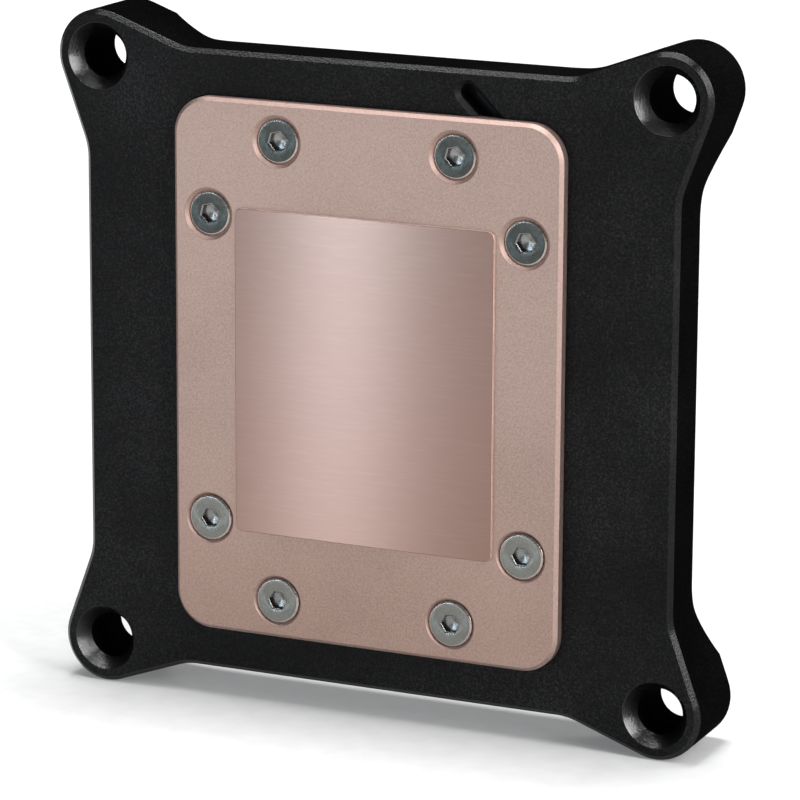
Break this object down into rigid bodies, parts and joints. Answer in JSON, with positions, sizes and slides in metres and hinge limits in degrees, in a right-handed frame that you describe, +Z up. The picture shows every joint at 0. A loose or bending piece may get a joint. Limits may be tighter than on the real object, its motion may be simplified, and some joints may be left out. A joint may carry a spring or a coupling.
{
  "type": "cpu water block",
  "caption": "Flat square water block for a processor: black housing with four drilled ears, copper cold plate with raised contact island, two threaded ports behind.",
  "frame": {"origin": "centre of the bounding box's bottom face, under the two lower ears it stands on", "axes": "-Y out of the copper contact face, +Y out of the ports, +X to the right seen from the copper face, +Z up"},
  "size_m": [0.0922, 0.0146, 0.0922],
  "materials": {
    "acetal_black": "fine matt grain, machined",
    "copper": "satin, island finely brushed",
    "stainless": "satin",
    "seal_rubber": "matt"
  },
  "bodies": {
    "root": {"housing": "acetal_black", "flow_insert": "acetal_black", "cold_plate": "copper", "jet_plate": "stainless", "plate_screws": "stainless", "plate_seal": "seal_rubber"}
  },
  "joints": []
}
